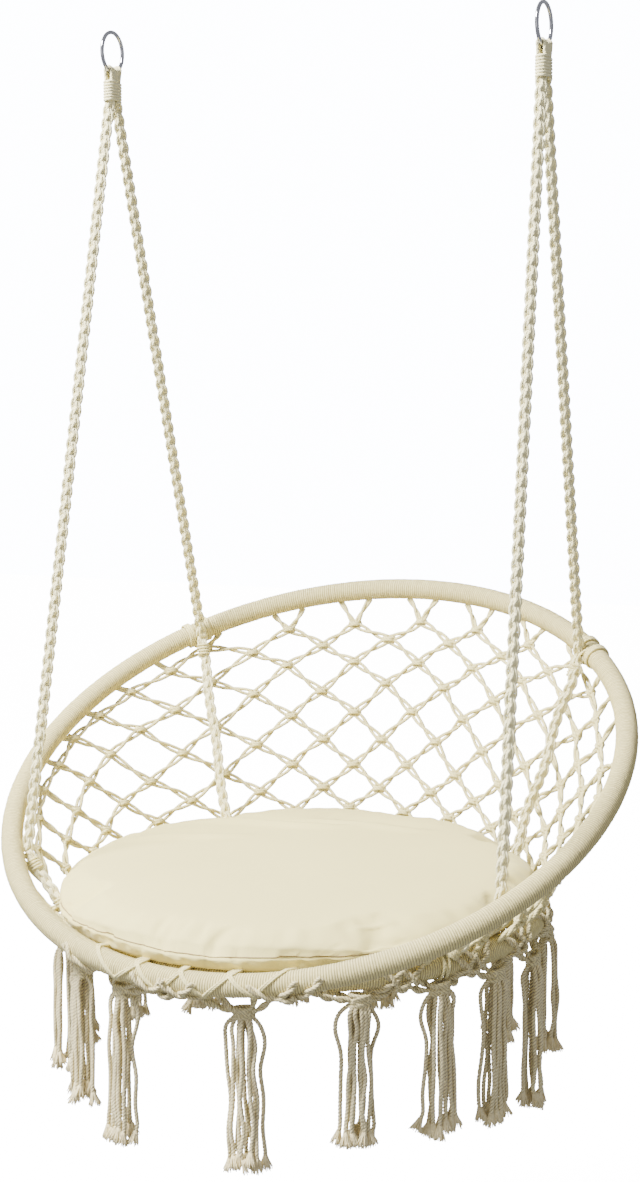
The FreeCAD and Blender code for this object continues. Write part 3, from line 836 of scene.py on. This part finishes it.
def make_seat_net():
    """Diagonal net of knots and doubled links hung across the seat hoop."""
    soup = Soup()
    count = int(SEAT_RIM * 1.5 / SEAT_MESH) + 1
    reach = seat.radius - WRAP_RADIUS + 0.001
    half = SEAT_MESH / math.sqrt(2)
    spots = {}
    for i in range(-count * 2, count * 2 + 1):
        for j in range(-count * 2, count * 2 + 1):
            x, y = (i - j) * half, (i + j + 1) * half
            if math.hypot(x, y) < SEAT_RIM - 0.012:
                spots[i, j] = (x + rng.normal(0, 0.001), y + rng.normal(0, 0.001))
    for (i, j), (x, y) in spots.items():
        point = dish(x, y)
        for di, dj in ((1, 0), (0, 1), (-1, 0), (0, -1)):
            other = spots.get((i + di, j + dj))
            if other and di + dj > 0:
                add_link(soup, point, dish(*other), seat.up)
            elif not other:
                way = unit(vec(di - dj, di + dj, 0))
                along = -(x * way[0] + y * way[1])
                gap = along + math.sqrt(along ** 2 + reach ** 2 - x * x - y * y)
                add_link(soup, point, dish(x + way[0] * gap, y + way[1] * gap), seat.up)
        add_knot(soup, point, vec(1, 0, 0), vec(0, 1, 0), seat.up)
    soup.piece("knotted_seat_net", netting, "seat", "net_cord", ["seat_net"])


make_seat_net()


# ---- lashing of the hoops at the front
LASHING_TURNS = 8
LASHING_SPACING = 0.029
LASHING_SLANT = 0.034  # along the hoops from one side of a turn to the other
LASHING_CORD = 0.0016


def lashing_path(x, slant):
    """One turn round both hoops that slants along them across the front."""
    t = np.linspace(0, TAU, 61)
    along = x - slant / 2 * np.cos(t)
    on_seat = seat.point(np.degrees(np.arcsin(along / seat.radius)))
    on_big = big.point(np.degrees(np.arcsin(along / big.radius)))
    forward = units(on_big - on_seat)
    upward = units(np.cross(forward, vec(1, 0, 0)))
    if upward[0][2] < 0:
        upward = -upward
    centre = np.where((np.sin(t) > 0)[:, None], on_big, on_seat)
    reach = WRAP_RADIUS + 0.0006
    return centre + (forward * np.sin(t)[:, None] - upward * np.cos(t)[:, None]) * reach


def make_lashing():
    """Pairs of cord turned round both hoops, slanting one way and then the other."""
    soup = Soup()
    for index in range(LASHING_TURNS):
        x = LASHING_SPACING * (index - (LASHING_TURNS - 1) / 2)
        slant = (LASHING_SLANT if index % 2 else -LASHING_SLANT) * rng.uniform(0.8, 1.1)
        for pair in (-LASHING_CORD, LASHING_CORD):
            add_tube(soup, smooth_path(lashing_path(x + pair, slant), 140), LASHING_CORD)
    soup.piece("laced_front_lashing", netting, "seat", "wound_cord", ["front_lashing"])


make_lashing()


# ---- fringe
TASSELS = sorted(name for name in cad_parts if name.startswith("tassel_"))
KNOT_ABOVE_TASSEL = 0.0095
KNOT_OUTWARD = 0.010  # the knots hang from the outside of the hoop
EXTRA_LENGTHS = (15, 4, 4, 11, 12, -16, 30, 30, 28, 20, 7, 0, -10, -10, 14)  # mm, tassel by tassel
RAISED = (0, 12, 12, 8, 0, 0, 0, 0, 0, 0, 0, 0, 0, 2, 2)  # mm, knot by knot
FRINGE_CORD, SWAG_CORD, KNOT_TURN_CORD = 0.0028, 0.0025, 0.0024  # radii
TASSEL_CORDS, TASSEL_LENGTH = 11, 0.150
BRUSH_FIBRES, BRUSH_SPREAD = 44, 0.0078
FIBRE_RADII = (0.0008, 0.0009, 0.0009, 0.0008, 0.0005)  # from root to tip
FRONT_HALF = 27  # degrees from the front within which the big hoop is outside
SLANT = 6.5  # degrees that a swag arm slants along the hoop as it goes over
HANG = 0.033  # from a tassel's knot up to the middle of the seat hoop


def tassel_knot(name):
    """Where the knot of a tassel is."""
    low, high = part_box(name)
    knot = vec((low[0] + high[0]) / 2, (low[1] + high[1]) / 2, high[2] + KNOT_ABOVE_TASSEL)
    knot = knot + seat.outward(seat.azimuth_of(knot)) * KNOT_OUTWARD
    return knot + vec(0, 0, 0.001 * RAISED[TASSELS.index(name)])


def outer_rim(azimuth):
    """The hoop that is outside at an azimuth of the seat hoop, and the azimuth on it."""
    if folded(azimuth) < FRONT_HALF:
        x = seat.radius * math.sin(math.radians(azimuth))
        return big, math.degrees(math.asin(x / big.radius))
    return seat, azimuth


def add_arm(soup, knot, side, azimuth, sag):
    """Twisted cords from a tassel's knot up to the hoop and over its outside."""
    hoop, place = outer_rim(azimuth)
    angles = np.radians([-80, -50, -15, 25, 70])
    lean = math.copysign(1, np.dot(side, hoop.tangent(place)))
    places = place + lean * SLANT * np.linspace(-0.2, 1, 5)
    over = hoop.around(places, angles - (hoop.tilt if hoop is big else 0), np.full(5, WRAP_RADIUS + 0.0018))
    start = knot + side * 0.0075
    middle = (start + over[0]) / 2 + vec(0, 0, -sag)
    path = smooth_path(np.vstack([start - side * 0.006, start, middle, over]), 46)
    for line in twisted_pair(path, 0.0021, 0.036, rng.uniform(0, TAU)):
        add_tube(soup, line, SWAG_CORD, depth=0.22)


def make_skirt():
    """Swags between the tassel knots: doubled arms, the knots, and a knot where two arms meet."""
    soup = Soup()
    knots = [tassel_knot(name) for name in TASSELS]
    azimuths = [seat.azimuth_of(knot + vec(0, 0, HANG)) % 360 for knot in knots]
    count = len(knots)
    for index, (knot, azimuth) in enumerate(zip(knots, azimuths)):
        tangent, outward = seat.tangent(azimuth), seat.outward(azimuth)
        down = vec(0, 0, -1)
        for way, other in ((-1, azimuths[index - 1]), (1, azimuths[(index + 1) % count])):
            gap = ((other - azimuth) * way) % 360
            for share, sag in ((0.47, 0.004), (0.25, 0.0)):
                add_arm(soup, knot, tangent * way, azimuth + way * gap * share, sag)
        for row in range(4):
            t = np.linspace(0, TAU, 21)
            tilt = rng.uniform(-0.25, 0.25)
            ring = (knot + tangent * (0.0115 * np.cos(t))[:, None] + outward * (0.0062 * np.sin(t))[:, None]
                    + down * ((row - 1.5) * 0.0034 + 0.0020 * tilt * np.cos(t) * 4)[:, None])
            add_tube(soup, ring, KNOT_TURN_CORD)
        add_knot(soup, knot + outward * 0.003, tangent, vec(0, 0, 1), outward, 1.3)
        following = azimuths[(index + 1) % count]
        middle = azimuth + ((following - azimuth) % 360) / 2
        hoop, place = outer_rim(middle)
        spot = hoop.around(np.array([place]), np.array([-0.75]), np.array([WRAP_RADIUS + 0.0025]))[0]
        add_knot(soup, spot, hoop.tangent(place), unit(hoop.up + hoop.outward(place) * 0.8),
                 unit(hoop.outward(place) - hoop.up * 0.8), 1.35)
    soup.piece("swagged_fringe_skirt", swag, "seat", "fringe_cord", ["fringe_skirt"])


def add_frayed_end(soup, end, direction):
    """Loosened fibres that flare from the end of a cord."""
    side = unit(np.cross(direction, vec(0.3, 1, 0.1)))
    other = np.cross(direction, side)
    for _ in range(BRUSH_FIBRES):
        angle = rng.uniform(0, TAU)
        flare = BRUSH_SPREAD * math.sqrt(rng.uniform(0, 1))
        length = rng.uniform(0.013, 0.017)
        way = side * math.cos(angle) + other * math.sin(angle)
        root = end + way * min(flare, 0.0022) - direction * 0.004
        path = [root, root + direction * length * 0.4 + way * flare * 0.22,
                root + direction * length + way * flare * 0.75]
        add_tube(soup, smooth_path(path, len(FIBRE_RADII)), FIBRE_RADII, sides=4, depth=0)


def make_tassel(name):
    """Twisted cords that arch out of the knot and hang to frayed ends."""
    knot = tassel_knot(name)
    azimuth = seat.azimuth_of(knot + vec(0, 0, HANG))
    tangent = seat.tangent(azimuth)
    flat_out = unit(seat.outward(azimuth) * vec(1, 1, 0))
    cords, ends = Soup(), Soup()
    length = TASSEL_LENGTH + 0.001 * EXTRA_LENGTHS[TASSELS.index(name)]
    drift = tangent * rng.normal(0, 0.003)
    half = (TASSEL_CORDS - 1) / 2
    for index in range(TASSEL_CORDS):
        share = (index - half) / half
        outer = abs(share) > 0.9
        spread = share * (0.0205 if outer else 0.0165) + rng.normal(0, 0.0010)
        deep = (0.0085 if index % 2 else -0.0070) * math.sqrt(1 - 0.8 * share ** 2) + rng.normal(0, 0.0012)
        fall = length * rng.uniform(0.94, 1.02)
        start = knot + tangent * share * 0.0085 + flat_out * deep * 0.45 + vec(0, 0, -0.003)
        points = [start]
        for step, depth in enumerate((0.08, 0.20, 0.38, 0.58, 0.78, 0.93, 1.0)):
            wave = rng.normal(0, 0.0014)
            shape = min(1.0, 0.78 + depth * 0.22) + (0.25 if outer and step < 2 else 0)
            points.append(start + vec(0, 0, -fall * depth) + drift * depth
                          + tangent * (spread * shape - share * 0.0085 + wave)
                          + flat_out * (deep * (0.55 + 0.2 * depth) + rng.normal(0, 0.0010)))
        line = smooth_path(points, 90)
        add_tube(cords, line, FRINGE_CORD, sides=9, depth=0.30, lay=FRINGE_LAY)
        add_frayed_end(ends, line[-1], unit(line[-1] - line[-4]))
    body = name + "_body"
    cords.piece("hanging_" + name, fringe, body, "fringe_cord", [name])
    ends.piece("frayed_" + name, fray, body, "fringe_cord")


make_skirt()
for tassel_name in TASSELS:
    make_tassel(tassel_name)


# ---- cushion
CUSHION_THICKNESS = 0.042
CUSHION_SETTLES = 0.006  # how far the soft cushion sinks on to the hoops
SEAM_HEIGHT = 0.013  # of the seam above the underside
CUSHION_GRID = 110
CROWN = 0.004  # rise of the top panel from its edge to its middle
UNDERCUT = 0.010  # that the underside is smaller than the seam, all round
BAND_ROWS = 6
SWELL_STEPS, SWELL_LIMIT = 22, 0.009  # frames of the simulation, and how far a point may move in it
# Each crease: place across and back, direction in radians, half length, depth.
CREASES = ((-0.10, 0.13, 0.20, 0.100, 0.0070), (-0.17, 0.04, 0.50, 0.070, 0.0060),
           (0.02, 0.17, 0.05, 0.080, 0.0045))


def make_cushion():
    """Round canvas cushion: a crowned top panel, a seam, a band and a flat underside."""
    centre = box_centre("cushion_cover") - seat.up * CUSHION_SETTLES + vec(-0.002, 0, 0)
    radius = box_size("cushion_cover")[0] / 2
    back = vec(0, math.cos(seat.tilt), math.sin(seat.tilt))
    m = CUSHION_GRID
    u, v = np.meshgrid(np.linspace(-1, 1, m + 1), np.linspace(-1, 1, m + 1), indexing="ij")
    x, y = u * np.sqrt(1 - v ** 2 / 2), v * np.sqrt(1 - u ** 2 / 2)
    r = np.minimum(np.hypot(x, y), 1.0)
    low = -CUSHION_THICKNESS / 2
    seam = low + SEAM_HEIGHT
    top = seam + (CUSHION_THICKNESS - SEAM_HEIGHT - CROWN) * np.sqrt(1 - r ** 9) + CROWN * (1 - r ** 2)
    grid = np.arange((m + 1) ** 2).reshape(m + 1, m + 1)
    border = np.concatenate([grid[:-1, 0], grid[-1, :-1], grid[:0:-1, -1], grid[0, :0:-1]])
    flat = [np.stack([x.ravel() * radius, y.ravel() * radius, top.ravel()], -1)]
    rim = units(flat[0][border, :2])
    ring_of = [border]
    count = (m + 1) ** 2
    for row in range(1, BAND_ROWS + 1):
        share = row / (BAND_ROWS + 1)
        reach = radius + 0.0022 * math.sin(math.pi * share) - 0.009 * share ** 1.5
        flat.append(np.column_stack([rim * reach, np.full(len(rim), seam - SEAM_HEIGHT * share)]))
        ring_of.append(count + np.arange(len(rim)))
        count += len(rim)
    under = radius - UNDERCUT
    flat.append(np.stack([x.ravel() * under, y.ravel() * under, np.full((m + 1) ** 2, low)], -1))
    ring_of.append(count + border)
    quads = [np.stack([grid[:-1, :-1], grid[1:, :-1], grid[1:, 1:], grid[:-1, 1:]], -1).reshape(-1, 4)]
    quads.append((quads[0][:, ::-1]) + count)
    for above, below in zip(ring_of[:-1], ring_of[1:]):
        quads.append(np.stack([above, below, np.roll(below, -1), np.roll(above, -1)], -1))
    points = np.concatenate(flat)
    mesh = bpy.data.meshes.new("canvas_cushion")
    mesh.from_pydata(points.tolist(), [], np.concatenate(quads).tolist())
    mesh.update()
    cushion = linked("canvas_cushion", mesh)
    fill_cushion(cushion, points, len(points) - (m + 1) ** 2)
    mesh = cushion.data
    local = np.empty(len(mesh.vertices) * 3)
    mesh.vertices.foreach_get("co", local)
    local = local.reshape(-1, 3)
    pull_seam(local, border)
    placed = (centre + local[:, :1] * vec(1, 0, 0) + local[:, 1:2] * back + local[:, 2:] * seat.up)
    mesh.vertices.foreach_set("co", placed.ravel())
    mesh.polygons.foreach_set("use_smooth", [True] * len(mesh.polygons))
    mesh.update()
    finish_piece(cushion, canvas, "cushion", ["cushion_cover", "cushion_filling"])
    lay_seam_shadow(placed[border], centre)


def lay_seam_shadow(line, centre):
    """Dark cord in the groove between the top panel and the band: painted shadow of the seam."""
    soup = Soup()
    line = line + units(line - centre) * 0.0007
    add_tube(soup, np.vstack([line, line[:1]]), 0.0008, sides=6, depth=0, lay=0.004)
    soup.piece("cushion_seam_shadow", seam_shadow_cord, "cushion", "canvas")


def fill_cushion(cushion, rest, pinned_from):
    """Swell the cushion with a cloth simulation, holding its underside flat."""
    group = cushion.vertex_groups.new(name="held")
    group.add(list(range(pinned_from, len(rest))), 1.0, "REPLACE")
    cloth = cushion.modifiers.new("cloth", "CLOTH")
    settings = cloth.settings
    settings.quality = 6
    settings.mass = 0.25
    settings.tension_stiffness = settings.compression_stiffness = 12
    settings.shear_stiffness = 4
    settings.bending_stiffness = 0.25
    settings.vertex_group_mass = "held"
    settings.shrink_min = -0.016
    settings.use_pressure = True
    settings.uniform_pressure_force = 2.2
    settings.effector_weights.gravity = 0
    cloth.collision_settings.use_collision = False
    scene = bpy.context.scene
    for step in range(1, SWELL_STEPS + 1):
        scene.frame_set(step)
    graph = bpy.context.evaluated_depsgraph_get()
    swollen = bpy.data.meshes.new_from_object(cushion.evaluated_get(graph))
    moved = np.empty(len(swollen.vertices) * 3)
    swollen.vertices.foreach_get("co", moved)
    shift = moved.reshape(-1, 3) - rest
    far = np.linalg.norm(shift, axis=1)
    shift *= np.minimum(1, SWELL_LIMIT / np.maximum(far, 1e-9))[:, None]
    cushion.modifiers.clear()
    cushion.vertex_groups.clear()
    cushion.data.vertices.foreach_set("co", (rest + shift).ravel())
    scene.frame_set(1)


def pull_seam(local, border):
    """Draw the seam line in, pucker the panel beside it and crease the crown a little."""
    angle = np.arctan2(local[border, 1], local[border, 0])
    drawn = 0.0030 + 0.0006 * np.sin(angle * 61) * np.sin(angle * 17)
    local[border, :2] -= units(local[border, :2]) * drawn[:, None]
    x, y, z = local.T
    reach, turn = np.hypot(x, y), np.arctan2(y, x)
    upper = z > 0.002
    from_edge = reach.max() - reach
    pucker = np.sin(turn * 47 + 1.5 * np.sin(turn * 5)) * np.sin(turn * 13 + 0.6)
    local[:, 2] += np.where(upper, 0.0016 * pucker * np.exp(-((from_edge - 0.018) / 0.014) ** 2), 0)
    for cx, cy, direction, length, depth in CREASES:
        along = (x - cx) * math.cos(direction) + (y - cy) * math.sin(direction)
        across = (y - cy) * math.cos(direction) - (x - cx) * math.sin(direction)
        across = across + 0.006 * np.sin(along * 28)
        fold = np.exp(-(across / 0.011) ** 2) - 0.55 * np.exp(-((across - 0.022) / 0.018) ** 2)
        local[:, 2] += np.where(upper, depth * fold * np.exp(-(along / length) ** 4), 0)
    swell = np.sin(x * 23 + 1.1) * np.sin(y * 19 + 0.4) + 0.6 * np.sin(x * 41 - y * 33)
    local[:, 2] += np.where(upper, 0.0007 * swell, 0)


make_cushion()

# ---- camera, light and floor
VIEW_YAW, VIEW_PITCH = math.radians(25.13), math.radians(4.9)
PHOTO_HEIGHT, FOCAL_PIXELS = 1182, 2201.0
camera_data = bpy.data.cameras.new("camera")
camera_data.sensor_fit = "VERTICAL"
camera_data.sensor_height = 36.0
camera_data.lens = 36.0 * FOCAL_PIXELS / PHOTO_HEIGHT
camera_data.shift_x = -0.0037
camera_data.shift_y = -0.042
camera = linked("camera", camera_data)
camera.location = big.centre + vec(1.154, -2.433, 0.5086)
camera.rotation_euler = (math.pi / 2 - VIEW_PITCH, 0, VIEW_YAW)
bpy.context.scene.camera = camera


def area_light(name, location, target, size, power):
    data = bpy.data.lights.new(name, "AREA")
    data.shape = "DISK"
    data.size = size
    data.energy = power
    light = linked(name, data)
    light.location = location
    light.rotation_euler = (Vector(target) - Vector(location)).to_track_quat("-Z", "Y").to_euler()


lit_point = Vector(big.centre)
area_light("key", lit_point + Vector((-1.34, -1.62, 2.5)), lit_point, 1.1, 530)
area_light("fill", lit_point + Vector((-0.4, -3.2, 0.6)), lit_point, 2.2, 18)

BACKDROP, AMBIENT = 15.0, 0.54  # brightness of the world where it is seen, and as light
FLOOR_HALF, FLOOR_BELOW = 8, 0.35
world = bpy.data.worlds.new("studio")
world.use_nodes = True
background = world.node_tree.nodes["Background"]
background.inputs["Color"].default_value = (0.96, 0.99, 1.08, 1)
ray = world.node_tree.nodes.new("ShaderNodeLightPath")
seen = math_node(world.node_tree, "MULTIPLY", ray.outputs["Is Camera Ray"], BACKDROP - AMBIENT)
world.node_tree.links.new(math_node(world.node_tree, "ADD", seen, AMBIENT), background.inputs["Strength"])
bpy.context.scene.world = world

floor_material, floor_tree, floor_shader = blank_material("pale_floor", 0.9)
floor_shader.inputs["Base Color"].default_value = (0.85, 0.85, 0.84, 1)
floor_shader.inputs["Emission Color"].default_value = (1, 1, 1, 1)
floor_shader.inputs["Emission Strength"].default_value = BACKDROP
one_sided = floor_tree.nodes.new("ShaderNodeMixShader")  # clear from below, for views of the underside
floor_tree.links.new(floor_tree.nodes.new("ShaderNodeNewGeometry").outputs["Backfacing"], one_sided.inputs[0])
floor_tree.links.new(floor_shader.outputs[0], one_sided.inputs[1])
floor_tree.links.new(floor_tree.nodes.new("ShaderNodeBsdfTransparent").outputs[0], one_sided.inputs[2])
floor_tree.links.new(one_sided.outputs[0], floor_tree.nodes["Material Output"].inputs["Surface"])
floor_mesh = bpy.data.meshes.new("floor")
floor_z = cad_bounds[0][2] - FLOOR_BELOW
floor_corners = [(FLOOR_HALF * x, FLOOR_HALF * y, floor_z) for x, y in ((-1, -1), (1, -1), (1, 1), (-1, 1))]
floor_mesh.from_pydata(floor_corners, [], [(0, 1, 2, 3)])
floor_mesh.materials.append(floor_material)
floor = linked("floor", floor_mesh)
floor.visible_diffuse = floor.visible_glossy = False
